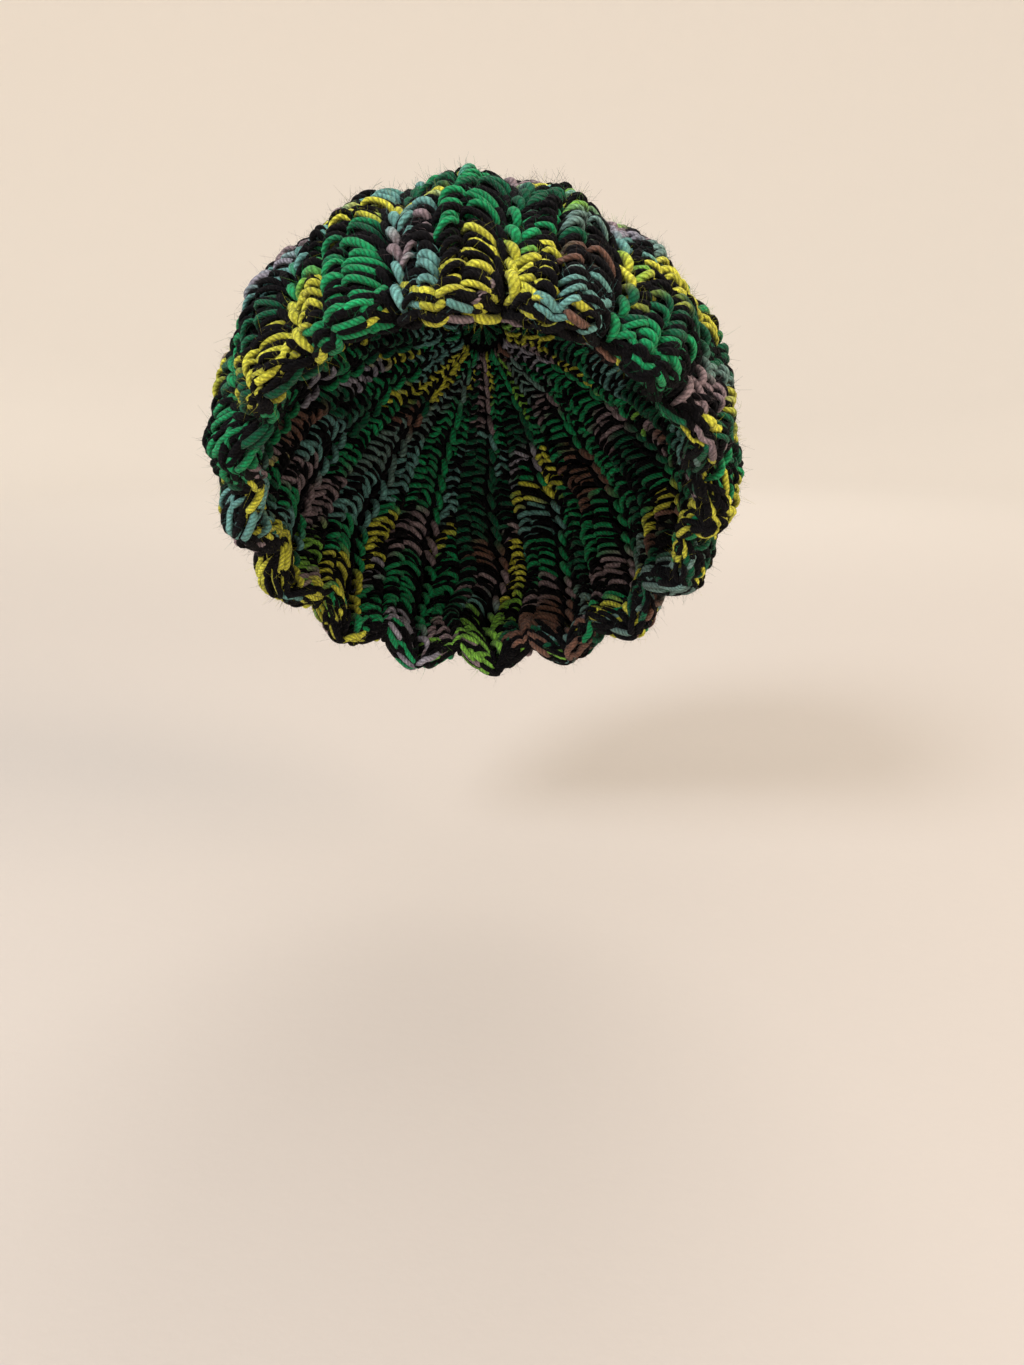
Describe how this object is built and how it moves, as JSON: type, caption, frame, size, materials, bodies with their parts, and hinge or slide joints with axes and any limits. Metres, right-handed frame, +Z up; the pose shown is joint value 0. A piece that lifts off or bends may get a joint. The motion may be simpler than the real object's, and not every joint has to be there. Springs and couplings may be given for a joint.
{
  "type": "knit beanie",
  "caption": "Chunky ribbed beanie in thick yarn, worked as vertical bulging ribs, gathered and knotted at the crown and open at the brim for a head.",
  "frame": {"origin": "centre of the head opening, at the mount head_opening, with the hat as it sits on an upright head", "axes": "+Z up when worn, -Y where the face looks, +X to the wearer's left"},
  "size_m": [0.2096, 0.2099, 0.2055],
  "materials": {
    "ribbed_yarn": "two thick strands held together, one black and one dyed in runs of green, lime yellow, teal and mauve; matt and slightly fuzzy",
    "seam_yarn": "black spun yarn, matt",
    "gather_yarn": "black and green spun yarn drawn tight, matt"
  },
  "bodies": {
    "root": {"rib_01": "ribbed_yarn", "rib_02": "ribbed_yarn", "rib_03": "ribbed_yarn", "rib_04": "ribbed_yarn", "rib_05": "ribbed_yarn", "rib_06": "ribbed_yarn", "rib_07": "ribbed_yarn", "rib_08": "ribbed_yarn", "rib_09": "ribbed_yarn", "rib_10": "ribbed_yarn", "rib_11": "ribbed_yarn", "rib_12": "ribbed_yarn", "rib_13": "ribbed_yarn", "rib_14": "ribbed_yarn", "rib_15": "ribbed_yarn", "rib_16": "ribbed_yarn", "back_seam": "seam_yarn", "crown_gather_yarn": "gather_yarn", "crown_knot": "gather_yarn"}
  },
  "joints": []
}
